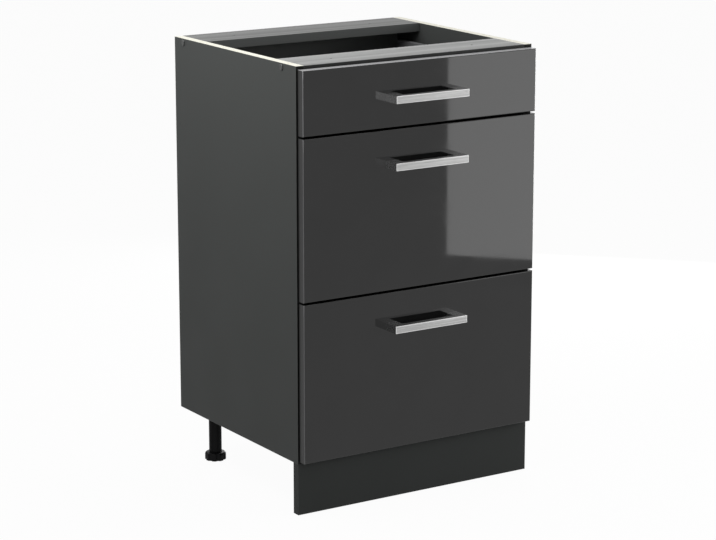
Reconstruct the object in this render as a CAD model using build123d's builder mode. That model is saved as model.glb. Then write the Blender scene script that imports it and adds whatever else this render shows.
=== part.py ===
from build123d import *
from dataclasses import dataclass
import os

# Kitchen base cabinet with three drawers on roller runners, in millimetres.
# X runs across the width, -Y is the front, +Z is up and the floor is Z = 0.
# The origin is at floor level, at mid-width, midway between the handles and the back.

os.makedirs("parts", exist_ok=True)

# Carcass
width = 500.0
carcass_depth = 432.0
carcass_height = 713.0
board = 16.0
front_rail_width = 92.0
rear_rail_width = 93.0
back_thickness = 3.0
groove_depth = 6.0
groove_inset = 12.0
groove_play = 0.2

# Fasteners of the carcass
rail_screw_setback_front = 49.0
rail_screw_setback_rear = 32.0
rail_screw_radius = 3.0
rail_screw_length = 50.0
rail_screw_head_radius = 5.0
rail_screw_head_height = 3.0
cap_radius = 6.5
cap_thickness = 2.0
cap_slope = 1.0
dowel_radius = 4.0
dowel_length = 30.0
dowel_in_side = 10.0
dowel_setback_rail = 20.0
dowel_setback_bottom = 60.0
dowel_end_play = 0.5
hole_play = 0.05

# Holes for the worktop screws in the rails
worktop_hole_radius = 2.25
worktop_hole_spacing = 300.0

# Base: legs, levelling feet and plinth
leg_height = 95.0
leg_inset_side = 39.0
leg_inset_front = 38.5
leg_inset_rear = 63.0
leg_radius = 12.0
leg_collar_radius = 16.0
leg_collar_height = 6.0
leg_flange_size = 44.0
leg_flange_corner = 8.0
leg_flange_thickness = 4.0
leg_screw_spacing = 30.0
foot_radius = 20.0
foot_height = 15.0
foot_top_radius = 4.0
foot_sole_radius = 1.0
foot_lobes = 8
foot_turn = 30.0
foot_notch_radius = 5.0
foot_notch_depth = 3.0
foot_stem_radius = 8.2
foot_stem_length = 45.0
foot_play = 0.3
plinth_thickness = 16.0
clip_height = 25.0
clip_plate_width = 46.0
clip_wall = 3.0
clip_web = 10.0
clip_mouth = 18.0
clip_screw_spacing = 32.0
clip_play = 0.1

# Drawer fronts and handles
front_thickness = 16.0
front_gap = 2.0
front_side_margin = 2.5
front_joint = 4.0
front_edge_radius = 1.5
top_reveal = 6.0
bottom_reveal = 4.0
top_front_height = 115.0
handle_length = 154.0
handle_height = 13.5
handle_projection = 34.0
handle_arm = 22.0
handle_bar = 12.5
handle_edge_radius = 0.6
handle_hole_spacing = 128.0
handle_drop = 61.0
handle_screw_radius = 2.0
handle_screw_length = 25.0
handle_screw_head_radius = 4.0
handle_screw_head_height = 2.4

# Bumpers on the front edges of the sides
bumper_radius = 4.0
bumper_drop = 25.0
bumper_play = 0.3

# Drawer boxes with folded steel sides
steel = 1.5
low_side_height = 70.0
deep_side_height = 144.0
side_width = 12.5
drawer_rear_space = 54.0
box_floor_gap = 3.5
box_board = 16.0
box_play = 0.3
ledge_width = 14.0
tab_width = 18.0
tab_margin = 5.0
tab_screw_margin = 6.0
back_drop = 18.0
ledge_screw_count = 3
ledge_screw_margin = 50.0

# Roller runners
runner_depth = 12.0
runner_clearance = 1.0
runner_setback = 2.0
runner_tail = 6.0
runner_rise = 2.0
front_roller_radius = 9.0
rear_roller_radius = 12.5
roller_width = 6.0
roller_play = 0.3
roller_end_play = 0.4
roller_bore_play = 0.06
roller_web_gap = 2.0
front_roller_lift = 0.5
front_roller_inset = 22.0
rear_roller_inset = 36.0
roller_stop_gap = 2.5
pin_radius = 3.0
pin_head_radius = 4.0
pin_head_thickness = 1.2
track_end_gap = 2.0
track_play = 0.3

# One size of pan-head board screw
screw_radius = 1.75
screw_length = 15.0
screw_head_radius = 3.5
screw_head_height = 2.0
runner_screw_inset_front = 46.0
runner_screw_inset_rear = 50.0

# Places worked out from the sizes above
half_width = width / 2
inner_half = half_width - board
overall_depth = carcass_depth + front_gap + front_thickness + handle_projection
front_face = handle_projection - overall_depth / 2
front_rear = front_face + front_thickness
carcass_front = front_rear + front_gap
carcass_rear = carcass_front + carcass_depth
carcass_bottom = leg_height
carcass_top = carcass_bottom + carcass_height
bottom_panel_top = carcass_bottom + board
rail_bottom = carcass_top - board
rail_middle = carcass_top - board / 2
groove_width = back_thickness + 2 * groove_play
groove_rear = carcass_rear - groove_inset
groove_front = groove_rear - groove_width
deep_front_height = (carcass_height - top_reveal - bottom_reveal - top_front_height - 2 * front_joint) / 2
front_half = half_width - front_side_margin
handle_gap = handle_projection - handle_bar

SIDES = {"left": -1, "right": 1}
RISING = (Align.CENTER, Align.CENTER, Align.MIN)
SINKING = (Align.CENTER, Align.CENTER, Align.MAX)

# Runner section, as distances in from the carcass side and up from the runner's underside
track_inset = roller_web_gap + steel + roller_end_play
wall_inset = runner_depth + runner_clearance
inner_wall_inset = wall_inset + side_width
box_half = inner_half - inner_wall_inset
rear_roller_level = steel + roller_play + rear_roller_radius
runner_height = 2 * (steel + roller_play + rear_roller_radius)
front_roller_level = steel + front_roller_lift + front_roller_radius
track_level = front_roller_level + front_roller_radius + track_play
runner_screw_level = rear_roller_level + pin_head_radius + screw_head_radius + roller_end_play
pin_head_inset = track_inset - roller_end_play - pin_head_thickness

# Runner lengths, from the front edge of the carcass to the back
box_rear = carcass_rear - drawer_rear_space
box_rise = board - bottom_reveal + box_floor_gap
runner_front = carcass_front + runner_setback
runner_rear = box_rear - runner_tail
front_roller_y = runner_front + front_roller_inset
rear_roller_y = box_rear - rear_roller_inset
track_rear = rear_roller_y - rear_roller_radius - track_end_gap
drawer_travel = rear_roller_y - front_roller_y - front_roller_radius - rear_roller_radius - roller_stop_gap


@dataclass
class Drawer:
    """Levels of one drawer: its front, its handle, its box and its runner."""

    name: str
    front_bottom: float
    front_height: float
    side_height: float

    @property
    def front_top(self):
        return self.front_bottom + self.front_height

    @property
    def handle_level(self):
        return self.front_top - handle_drop

    @property
    def box_bottom(self):
        return self.front_bottom + box_rise

    @property
    def box_floor(self):
        return self.box_bottom + steel + box_board

    @property
    def box_top(self):
        return self.box_bottom + self.side_height

    @property
    def back_top(self):
        return self.box_top - back_drop

    @property
    def runner_bottom(self):
        return self.box_bottom + runner_rise


bottom_front_level = carcass_bottom + bottom_reveal
middle_front_level = bottom_front_level + deep_front_height + front_joint
top_front_level = middle_front_level + deep_front_height + front_joint
DRAWERS = (
    Drawer("top", top_front_level, top_front_height, low_side_height),
    Drawer("middle", middle_front_level, deep_front_height, deep_side_height),
    Drawer("bottom", bottom_front_level, deep_front_height, deep_side_height),
)


def save(piece, name):
    """Label a finished piece and write it to its own file."""
    piece.part.label = name
    export_step(piece.part, f"parts/{name}.step")


def slab(x, y, z, mode=Mode.ADD):
    """Add a flat-sided block to the piece being built, given its two limits on each axis."""
    limits = [sorted(pair) for pair in (x, y, z)]
    sizes = [high - low for low, high in limits]
    middle = tuple((low + high) / 2 for low, high in limits)
    with Locations(middle):
        Box(*sizes, mode=mode)


def inward(side, distance):
    """Return the X of a point that lies a distance in from the inner face of a carcass side."""
    return side * (inner_half - distance)


def drill(seats, radius, depth):
    """Sink a round hole at each seat; a seat is a plane that faces out of the hole's mouth."""
    with Locations(*seats):
        Cylinder(radius, depth, align=SINKING, mode=Mode.SUBTRACT)


def drill_for_screws(seats):
    """Sink the pilot holes of board screws, through everything under their heads."""
    drill(seats, screw_radius + hole_play, screw_length + hole_play)


def add_screws(seats, radius, length, head_radius, head_height):
    """Add a screw at each seat, with its head on the seat's outer side."""
    with Locations(*seats):
        Cylinder(head_radius, head_height, align=RISING)
        Cylinder(radius, length, align=SINKING)


def add_board_screws(seats):
    """Add a pan-head board screw at each seat."""
    add_screws(seats, screw_radius, screw_length, screw_head_radius, screw_head_height)


# Seats of the fasteners: each plane lies under the head and faces the way the fastener comes out


def rail_screw_seats(side):
    """One sunk screw through a side into each rail."""
    x = side * (half_width - rail_screw_head_height)
    rows = (carcass_front + rail_screw_setback_front, carcass_rear - rail_screw_setback_rear)
    return [Plane(origin=(x, y, rail_middle), z_dir=(side, 0, 0)) for y in rows]


def dowel_seats(side):
    """Dowels from a side into the bottom panel and into each rail, seated at their ends in the side."""
    x = side * (inner_half + dowel_in_side)
    bottom_rows = (
        carcass_front + dowel_setback_bottom,
        carcass_front + carcass_depth / 2,
        carcass_rear - dowel_setback_bottom,
    )
    rail_rows = (
        carcass_front + dowel_setback_rail,
        carcass_rear - rear_rail_width + dowel_setback_rail,
    )
    places = [(y, carcass_bottom + board / 2) for y in bottom_rows]
    places += [(y, rail_middle) for y in rail_rows]
    return [Plane(origin=(x, y, z), z_dir=(side, 0, 0)) for y, z in places]


def drill_for_dowels(side):
    """Sink the dowel holes of one side of the carcass."""
    seats = [plane.offset(dowel_end_play) for plane in dowel_seats(side)]
    drill(seats, dowel_radius + hole_play, dowel_length + 2 * dowel_end_play)


def runner_screw_seats(drawer, side):
    """Two screws through a runner's web into the carcass side."""
    x = inward(side, steel)
    z = drawer.runner_bottom + runner_screw_level
    rows = (runner_front + runner_screw_inset_front, runner_rear - runner_screw_inset_rear)
    return [Plane(origin=(x, y, z), z_dir=(-side, 0, 0)) for y in rows]


def leg_screw_seats(x, y):
    """Four screws up through a leg's flange."""
    z = carcass_bottom - leg_flange_thickness
    half = leg_screw_spacing / 2
    corners = [(dx, dy) for dx in (-half, half) for dy in (-half, half)]
    return [Plane(origin=(x + dx, y + dy, z), z_dir=(0, 0, -1)) for dx, dy in corners]


def clip_screw_seats(side):
    """Two screws through a plinth clip's plate into the plinth."""
    y = carcass_front + plinth_thickness + clip_wall
    half = clip_screw_spacing / 2
    return [Plane(origin=(side * leg_x + dx, y, clip_middle), z_dir=(0, 1, 0)) for dx in (-half, half)]


def handle_screw_seats(drawer):
    """Two machine screws from inside the front into the handle."""
    half = handle_hole_spacing / 2
    return [Plane(origin=(x, front_rear, drawer.handle_level), z_dir=(0, 1, 0)) for x in (-half, half)]


def tab_levels(drawer, top):
    """Lowest and highest level of a tab of a drawer side that is screwed to a board with this top."""
    return drawer.box_floor + tab_margin, top - tab_margin


def tab_screw_seats(drawer, y, top):
    """Two screws through each of the tabs of both drawer sides that stand at one Y."""
    x = box_half - tab_width / 2
    low, high = tab_levels(drawer, top)
    levels = (low + tab_screw_margin, high - tab_screw_margin)
    return [Plane(origin=(s * x, y, z), z_dir=(0, 1, 0)) for s in SIDES.values() for z in levels]


def front_tab_seats(drawer):
    """Screws that hold the drawer's front."""
    return tab_screw_seats(drawer, front_rear + steel, drawer.box_top)


def back_tab_seats(drawer):
    """Screws that hold the drawer's back, which is lower than the sides."""
    return tab_screw_seats(drawer, box_rear, drawer.back_top)


def ledge_screw_seats(drawer):
    """Screws up through the ledges of both drawer sides into the drawer's bottom."""
    x = box_half - ledge_width / 2
    start = front_rear + ledge_screw_margin
    step = (box_rear - ledge_screw_margin - start) / (ledge_screw_count - 1)
    rows = [start + i * step for i in range(ledge_screw_count)]
    z = drawer.box_bottom
    return [Plane(origin=(s * x, y, z), z_dir=(0, 0, -1)) for s in SIDES.values() for y in rows]


# Places of the legs
leg_x = half_width - leg_inset_side
leg_rows = {"front": carcass_front + leg_inset_front, "rear": carcass_rear - leg_inset_rear}
leg_places = {
    f"{row}_{hand}": (side * leg_x, y) for row, y in leg_rows.items() for hand, side in SIDES.items()
}
leg_tube_bottom = foot_height + foot_play
leg_flange_bottom = carcass_bottom - leg_flange_thickness
leg_collar_bottom = leg_flange_bottom - leg_collar_height
clip_middle = (leg_tube_bottom + leg_collar_bottom) / 2
all_leg_screw_seats = [seat for place in leg_places.values() for seat in leg_screw_seats(*place)]

# Carcass sides
for hand, side in SIDES.items():
    with BuildPart() as side_panel:
        slab(
            (side * inner_half, side * half_width),
            (carcass_front, carcass_rear),
            (carcass_bottom, carcass_top),
        )
        slab(
            (side * inner_half, side * (inner_half + groove_depth)),
            (groove_front, groove_rear),
            (bottom_panel_top - groove_depth, rail_bottom + groove_depth),
            mode=Mode.SUBTRACT,
        )
        drill(rail_screw_seats(side), rail_screw_radius + hole_play, rail_screw_length)
        head_seats = [plane.offset(rail_screw_head_height) for plane in rail_screw_seats(side)]
        drill(head_seats, rail_screw_head_radius + hole_play, rail_screw_head_height)
        drill_for_dowels(side)
        for drawer in DRAWERS:
            drill_for_screws(runner_screw_seats(drawer, side))
    save(side_panel, f"side_{hand}")

# Bottom panel
with BuildPart() as bottom_panel:
    slab((-inner_half, inner_half), (carcass_front, carcass_rear), (carcass_bottom, bottom_panel_top))
    slab(
        (-inner_half, inner_half),
        (groove_front, groove_rear),
        (bottom_panel_top - groove_depth, bottom_panel_top),
        mode=Mode.SUBTRACT,
    )
    for side in SIDES.values():
        drill_for_dowels(side)
    drill_for_screws(all_leg_screw_seats)
save(bottom_panel, "bottom_panel")


def rail(front, rear):
    """Build a flat rail between the sides, with its screw, dowel and worktop holes."""
    with BuildPart() as flat_rail:
        slab((-inner_half, inner_half), (front, rear), (rail_bottom, carcass_top))
        for side in SIDES.values():
            drill(rail_screw_seats(side), rail_screw_radius + hole_play, rail_screw_length + hole_play)
            drill_for_dowels(side)
        with Locations((0, (front + rear) / 2, carcass_top)):
            with GridLocations(worktop_hole_spacing, 1, 2, 1):
                Hole(worktop_hole_radius, board)
    return flat_rail


# Rails across the open top
front_rail = rail(carcass_front, carcass_front + front_rail_width)
save(front_rail, "front_rail")

plain_rear_rail = rail(carcass_rear - rear_rail_width, carcass_rear)
with BuildPart() as rear_rail:
    add(plain_rear_rail.part)
    slab(
        (-inner_half, inner_half),
        (groove_front, groove_rear),
        (rail_bottom, rail_bottom + groove_depth),
        mode=Mode.SUBTRACT,
    )
save(rear_rail, "rear_rail")

# Back panel, held in the grooves of the sides, the bottom panel and the rear rail
with BuildPart() as back_panel:
    back_half = inner_half + groove_depth - groove_play
    slab(
        (-back_half, back_half),
        (groove_front + groove_play, groove_rear - groove_play),
        (bottom_panel_top - groove_depth + groove_play, rail_bottom + groove_depth - groove_play),
    )
save(back_panel, "back_panel")

# Fasteners of the carcass and the caps over them
with BuildPart() as carcass_screws:
    for side in SIDES.values():
        add_screws(
            rail_screw_seats(side),
            rail_screw_radius,
            rail_screw_length,
            rail_screw_head_radius,
            rail_screw_head_height,
        )
save(carcass_screws, "carcass_screws")

with BuildPart() as cover_caps:
    for side in SIDES.values():
        with Locations(*[plane.offset(rail_screw_head_height) for plane in rail_screw_seats(side)]):
            Cone(cap_radius, cap_radius - cap_slope, cap_thickness, align=RISING)
save(cover_caps, "cover_caps")

with BuildPart() as dowels:
    for side in SIDES.values():
        with Locations(*dowel_seats(side)):
            Cylinder(dowel_radius, dowel_length, align=SINKING)
save(dowels, "dowels")

# Legs: a screwed flange, a collar and a hollow tube in one moulding
for place, (x, y) in leg_places.items():
    with BuildPart() as leg:
        with BuildSketch(Plane((x, y, leg_flange_bottom))):
            RectangleRounded(leg_flange_size, leg_flange_size, leg_flange_corner)
        extrude(amount=leg_flange_thickness)
        with Locations((x, y, leg_flange_bottom)):
            Cylinder(leg_collar_radius, leg_collar_height, align=SINKING)
            Cylinder(leg_radius, leg_flange_bottom - leg_tube_bottom, align=SINKING)
            Cylinder(
                foot_stem_radius + foot_play,
                leg_flange_bottom - leg_tube_bottom,
                align=SINKING,
                mode=Mode.SUBTRACT,
            )
        drill_for_screws(leg_screw_seats(x, y))
    save(leg, f"leg_{place}")

# Levelling feet: a lobed pad on a stem that runs up into the leg
for place, (x, y) in leg_places.items():
    with BuildPart() as foot:
        with Locations((x, y, 0)):
            Cylinder(foot_radius, foot_height, align=RISING)
        rims = foot.edges().filter_by(GeomType.CIRCLE).sort_by(Axis.Z)
        fillet(rims[-1], foot_top_radius)
        fillet(rims[0], foot_sole_radius)
        with Locations((x, y, 0)):
            notch_middle = foot_radius + foot_notch_radius - foot_notch_depth
            with PolarLocations(notch_middle, foot_lobes, start_angle=foot_turn):
                Cylinder(foot_notch_radius, foot_height, align=RISING, mode=Mode.SUBTRACT)
        with Locations((x, y, foot_height)):
            Cylinder(foot_stem_radius, foot_stem_length, align=RISING)
    save(foot, f"foot_{place}")

# Plinth panel under the front edge of the carcass
with BuildPart() as plinth_panel:
    slab((-half_width, half_width), (carcass_front, carcass_front + plinth_thickness), (0, carcass_bottom))
    for side in SIDES.values():
        drill_for_screws(clip_screw_seats(side))
save(plinth_panel, "plinth_panel")

# Plinth clips: a plate on the plinth and a split ring round the front leg
for hand, side in SIDES.items():
    with BuildPart() as plinth_clip:
        plinth_rear = carcass_front + plinth_thickness
        ring_middle = leg_rows["front"]
        ring_inner = leg_radius + clip_play
        ring_outer = ring_inner + clip_wall
        web_length = ring_middle - plinth_rear
        with BuildSketch(Plane((side * leg_x, ring_middle, clip_middle - clip_height / 2))):
            Circle(ring_outer)
            with Locations((0, -web_length)):
                Rectangle(clip_plate_width, clip_wall, align=(Align.CENTER, Align.MIN))
                Rectangle(clip_web, web_length, align=(Align.CENTER, Align.MIN))
            Circle(ring_inner, mode=Mode.SUBTRACT)
            Rectangle(clip_mouth, ring_outer, align=(Align.CENTER, Align.MIN), mode=Mode.SUBTRACT)
        extrude(amount=clip_height)
        drill_for_screws(clip_screw_seats(side))
    save(plinth_clip, f"plinth_clip_{hand}")

# Board screws of the legs, the plinth clips and the runners
with BuildPart() as board_screws:
    add_board_screws(all_leg_screw_seats)
    for side in SIDES.values():
        add_board_screws(clip_screw_seats(side))
        for drawer in DRAWERS:
            add_board_screws(runner_screw_seats(drawer, side))
save(board_screws, "board_screws")

# Bumpers in the gap behind the fronts
with BuildPart() as bumpers:
    for side in SIDES.values():
        for drawer in DRAWERS:
            place = (side * (half_width - board / 2), carcass_front, drawer.front_top - bumper_drop)
            with Locations(Plane(origin=place, z_dir=(0, -1, 0))):
                Cylinder(bumper_radius, front_gap - bumper_play, align=RISING)
save(bumpers, "bumpers")


def roller_pin(side, y, z, wall, far_end):
    """Add a headed pin along X, from a wall's face to its far end, with a shoulder for the roller."""
    length = abs(far_end - wall)
    reach = 1 if far_end > wall else -1
    shoulder = length - pin_head_thickness - roller_width - 2 * roller_end_play
    with Locations(Plane(origin=(inward(side, wall), y, z), z_dir=(-side * reach, 0, 0))):
        Cylinder(pin_radius, length, align=RISING)
        Cylinder(pin_head_radius, shoulder, align=RISING)
    with Locations(Plane(origin=(inward(side, far_end), y, z), z_dir=(-side * reach, 0, 0))):
        Cylinder(pin_head_radius, pin_head_thickness, align=SINKING)


def rollers(y, z, radius, near):
    """Build the pair of rollers that turn on one line across the cabinet."""
    with BuildPart() as pair:
        for side in SIDES.values():
            with Locations(Plane(origin=(inward(side, near), y, z), z_dir=(-side, 0, 0))):
                Cylinder(radius, roller_width, align=RISING)
                Cylinder(pin_radius + roller_bore_play, roller_width, align=RISING, mode=Mode.SUBTRACT)
    return pair


# Runners on the carcass: a channel with the front roller's pin, open on top at its front end
front_pin_end = track_inset + roller_width + roller_end_play + pin_head_thickness
for drawer in DRAWERS:
    low = drawer.runner_bottom
    high = low + runner_height
    for hand, side in SIDES.items():
        with BuildPart() as runner:
            web = (inward(side, 0), inward(side, steel))
            flange = (inward(side, 0), inward(side, runner_depth))
            slab(web, (runner_front, runner_rear), (low, high))
            slab(flange, (runner_front, runner_rear), (low, low + steel))
            slab(flange, (front_roller_y + front_roller_radius, runner_rear), (high - steel, high))
            roller_pin(side, front_roller_y, low + front_roller_level, steel, front_pin_end)
            drill_for_screws(runner_screw_seats(drawer, side))
        save(runner, f"{drawer.name}_runner_{hand}")
    front_rollers = rollers(front_roller_y, low + front_roller_level, front_roller_radius, track_inset)
    save(front_rollers, f"{drawer.name}_front_rollers")
    rear_rollers = rollers(rear_roller_y, low + rear_roller_level, rear_roller_radius, track_inset)
    save(rear_rollers, f"{drawer.name}_rear_rollers")

# Drawer sides: a folded steel wall with a ledge, a track, end tabs and the rear roller's pin
for drawer in DRAWERS:
    low = drawer.box_bottom
    high = drawer.box_top
    track_bottom = drawer.runner_bottom + track_level
    for hand, side in SIDES.items():
        with BuildPart() as drawer_side:
            length = (front_rear, box_rear)
            outer = (inward(side, wall_inset), inward(side, wall_inset + steel))
            inner = (inward(side, inner_wall_inset - steel), inward(side, inner_wall_inset))
            tab = (inward(side, inner_wall_inset), inward(side, inner_wall_inset + tab_width))
            slab(outer, length, (low, high))
            slab(inner, length, (low, high))
            slab((outer[0], inner[1]), length, (high - steel, high))
            slab(
                (inward(side, inner_wall_inset), inward(side, inner_wall_inset + ledge_width)),
                length,
                (low, low + steel),
            )
            slab(
                (inward(side, track_inset), inward(side, wall_inset)),
                (front_rear, track_rear),
                (track_bottom, track_bottom + steel),
            )
            slab(tab, (front_rear, front_rear + steel), tab_levels(drawer, high))
            slab(tab, (box_rear - steel, box_rear), tab_levels(drawer, drawer.back_top))
            roller_pin(
                side, rear_roller_y, drawer.runner_bottom + rear_roller_level, wall_inset, pin_head_inset
            )
            drill_for_screws(front_tab_seats(drawer))
            drill_for_screws(back_tab_seats(drawer))
            drill_for_screws(ledge_screw_seats(drawer))
        save(drawer_side, f"{drawer.name}_drawer_side_{hand}")

# Drawer bottoms, backs and the screws of the boxes
for drawer in DRAWERS:
    board_half = box_half - box_play
    back_rear = box_rear - steel
    with BuildPart() as drawer_bottom:
        slab(
            (-board_half, board_half),
            (front_rear, back_rear),
            (drawer.box_bottom + steel, drawer.box_floor),
        )
        drill_for_screws(ledge_screw_seats(drawer))
    save(drawer_bottom, f"{drawer.name}_drawer_bottom")

    with BuildPart() as drawer_back:
        slab(
            (-board_half, board_half),
            (back_rear - box_board, back_rear),
            (drawer.box_floor, drawer.back_top),
        )
        drill_for_screws(back_tab_seats(drawer))
    save(drawer_back, f"{drawer.name}_drawer_back")

    with BuildPart() as box_screws:
        add_board_screws(front_tab_seats(drawer))
        add_board_screws(back_tab_seats(drawer))
        add_board_screws(ledge_screw_seats(drawer))
    save(box_screws, f"{drawer.name}_drawer_screws")

# Drawer fronts, with softened edges round the face
for drawer in DRAWERS:
    with BuildPart() as drawer_front:
        slab((-front_half, front_half), (front_face, front_rear), (drawer.front_bottom, drawer.front_top))
        fillet(drawer_front.faces().sort_by(Axis.Y)[0].edges(), front_edge_radius)
        drill(handle_screw_seats(drawer), handle_screw_radius + hole_play, front_thickness)
        drill_for_screws(front_tab_seats(drawer))
    save(drawer_front, f"{drawer.name}_drawer_front")

# Handles: a flat bow with two wide arms, and the machine screws that hold it
for drawer in DRAWERS:
    with BuildPart() as handle:
        with BuildSketch(Plane((0, front_face, drawer.handle_level - handle_height / 2))):
            Rectangle(handle_length, handle_projection, align=(Align.CENTER, Align.MAX))
            Rectangle(
                handle_length - 2 * handle_arm,
                handle_gap,
                align=(Align.CENTER, Align.MAX),
                mode=Mode.SUBTRACT,
            )
        extrude(amount=handle_height)
        fillet(handle.faces().sort_by(Axis.Y)[0].edges(), handle_edge_radius)
        drill(handle_screw_seats(drawer), handle_screw_radius + hole_play, handle_screw_length + hole_play)
    save(handle, f"{drawer.name}_drawer_handle")

    with BuildPart() as handle_screws:
        add_screws(
            handle_screw_seats(drawer),
            handle_screw_radius,
            handle_screw_length,
            handle_screw_head_radius,
            handle_screw_head_height,
        )
    save(handle_screws, f"{drawer.name}_handle_screws")

print(f"drawer travel {drawer_travel:.2f} mm, carcass front Y {carcass_front:.2f}, top Z {carcass_top:.2f}")
for drawer in DRAWERS:
    print(
        f"{drawer.name}: front {drawer.front_bottom:.1f} to {drawer.front_top:.1f}, "
        f"box {drawer.box_bottom:.1f} to {drawer.box_top:.1f}, floor {drawer.box_floor:.1f}, "
        f"handle {drawer.handle_level:.1f}, runner {drawer.runner_bottom:.1f}"
    )
print(f"box half width {box_half:.2f}, box rear Y {box_rear:.2f}")
print(f"front roller Y {front_roller_y:.2f}, level {front_roller_level:.2f}")
print(f"rear roller Y {rear_roller_y:.2f}, level {rear_roller_level:.2f}")
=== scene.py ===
# %% [markdown]
# A kitchen base cabinet with three drawers, dressed for a studio picture.
# The boards, drawers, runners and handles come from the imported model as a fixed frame, in metres, with the
# floor at Z = 0 and the fronts facing -Y. This lesson gives each of them its finish, and models the small
# mouldings that deserve more shape than a plain solid: legs, levelling feet, cover caps, bumpers and screws.

# %% Load the cabinet
import math

import bmesh
import bpy
from mathutils import Matrix, Vector


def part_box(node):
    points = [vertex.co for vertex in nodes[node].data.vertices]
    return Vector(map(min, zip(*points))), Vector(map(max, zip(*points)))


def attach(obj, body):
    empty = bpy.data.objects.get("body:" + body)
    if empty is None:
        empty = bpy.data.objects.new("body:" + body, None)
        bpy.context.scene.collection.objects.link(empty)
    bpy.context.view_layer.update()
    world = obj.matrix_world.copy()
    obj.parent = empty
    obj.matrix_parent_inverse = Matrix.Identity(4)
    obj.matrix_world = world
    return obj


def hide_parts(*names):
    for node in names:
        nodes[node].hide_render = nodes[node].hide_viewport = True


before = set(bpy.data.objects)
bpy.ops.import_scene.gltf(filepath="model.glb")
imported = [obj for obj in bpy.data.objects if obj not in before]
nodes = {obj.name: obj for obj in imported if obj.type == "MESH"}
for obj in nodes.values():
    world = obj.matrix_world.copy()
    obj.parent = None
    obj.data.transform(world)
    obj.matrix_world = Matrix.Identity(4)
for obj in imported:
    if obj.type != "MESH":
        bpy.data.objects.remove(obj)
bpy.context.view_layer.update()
scene = bpy.context.scene

# %% [markdown]
# The camera stands to the left of the cabinet, a little above it, with a long lens, so upright edges stay
# nearly parallel. Its place was found by matching the corners of the carcass, the fronts and the plinth to
# the picture's own pixels. It is tilted down instead of shifted, so the cabinet also sits in the middle of
# every other view.

# %% Camera
photo_width = 716
focal_pixels = 2500.0
camera_heading = math.radians(32.64)
camera_tilt = math.radians(13.43)
camera_place = (-2.4461, -3.8157, 1.4621)

bpy.ops.object.camera_add(
    location=camera_place,
    rotation=(math.pi / 2 - camera_tilt, 0.0, -camera_heading),
)
camera = bpy.context.object
camera.name = "camera"
camera.data.lens = focal_pixels * camera.data.sensor_width / photo_width
scene.camera = camera
scene.view_settings.view_transform = "Standard"
print("lens", round(camera.data.lens, 2), "mm at", camera_place)

# %% [markdown]
# Every finish below is a small network of nodes. Four helpers keep the cells short: one adds a node and feeds
# its inputs, one does arithmetic, one fades a value between two limits, and one turns screen colours into the
# linear numbers that shaders use. An input is given either a number or the output of an earlier node.

# %% Node helpers
def wire(tree, kind, inputs, **settings):
    """Add a node, apply its settings, and give each input a value or the output that feeds it."""
    made = tree.nodes.new(kind)
    for key, value in settings.items():
        setattr(made, key, value)
    for key, value in inputs.items():
        if isinstance(value, bpy.types.NodeSocket):
            tree.links.new(value, made.inputs[key])
        else:
            made.inputs[key].default_value = value
    return made


def calc(tree, operation, first, second):
    """Arithmetic on two values."""
    return wire(tree, "ShaderNodeMath", {0: first, 1: second}, operation=operation).outputs[0]


def fade(tree, value, start, end, low, high):
    """A smooth ramp from low, where the value is at start, to high, where it is at end."""
    limits = {"Value": value, "From Min": start, "From Max": end, "To Min": low, "To Max": high}
    return wire(tree, "ShaderNodeMapRange", limits, interpolation_type="SMOOTHSTEP").outputs[0]


def screen(red, green, blue):
    """A colour picked from a picture, 0 to 255, as linear light by the standard curve of screens."""
    def linear(level):
        share = level / 255
        return share / 12.92 if share <= 0.04045 else ((share + 0.055) / 1.055) ** 2.4
    return (linear(red), linear(green), linear(blue), 1.0)


white = screen(255, 255, 255)
print("white is", white)

# %% [markdown]
# The cabinet stands on a seamless white sweep. The world is white to the camera and to reflections, so
# gloss and metal mirror a white room, while it lights matt surfaces more gently. The floor glows almost
# white in the same way, and the rest of its brightness is white matt paint, which keeps a soft shadow under
# the cabinet. To the light that it throws back at the boards this paint is a mid grey, so a side grows
# darker towards its foot.

# %% World and floor
ambient_level = 0.28
floor_glow = 0.96
floor_white = 0.90
floor_bounce = 0.30
floor_reach = 60.0


def seen_directly(tree):
    """One for rays of the camera, of reflections and of light through glass, zero for the rest."""
    path = wire(tree, "ShaderNodeLightPath", {}).outputs
    mirrored = calc(tree, "MAXIMUM", path["Is Glossy Ray"], path["Is Transmission Ray"])
    return calc(tree, "MAXIMUM", path["Is Camera Ray"], mirrored)


world = bpy.data.worlds.new("white_room")
world.use_nodes = True
scene.world = world
sky = world.node_tree.nodes["Background"]
sky.inputs["Color"].default_value = white
sky_strength = fade(world.node_tree, seen_directly(world.node_tree), 0.0, 1.0, ambient_level, 1.0)
world.node_tree.links.new(sky_strength, sky.inputs["Strength"])

bpy.ops.mesh.primitive_plane_add(size=floor_reach, location=(0.0, 0.0, 0.0))
floor = bpy.context.object
floor.name = "floor"
floor_paint = bpy.data.materials.new("floor_paint")
floor_paint.use_nodes = True
floor_tree = floor_paint.node_tree
floor_tree.nodes.remove(floor_tree.nodes["Principled BSDF"])
seen = seen_directly(floor_tree)
paint = fade(floor_tree, seen, 0.0, 1.0, floor_bounce, floor_white)
matt = wire(floor_tree, "ShaderNodeBsdfDiffuse", {"Color": paint}).outputs[0]
glow = wire(floor_tree, "ShaderNodeEmission", {"Color": white, "Strength": 1.0}).outputs[0]
glow_share = calc(floor_tree, "MULTIPLY", seen, floor_glow)
surface = wire(floor_tree, "ShaderNodeMixShader", {0: glow_share, 1: matt, 2: glow}).outputs[0]
floor_tree.links.new(surface, floor_tree.nodes["Material Output"].inputs["Surface"])
floor.data.materials.append(floor_paint)
print("floor", floor_reach, "m across")

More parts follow.
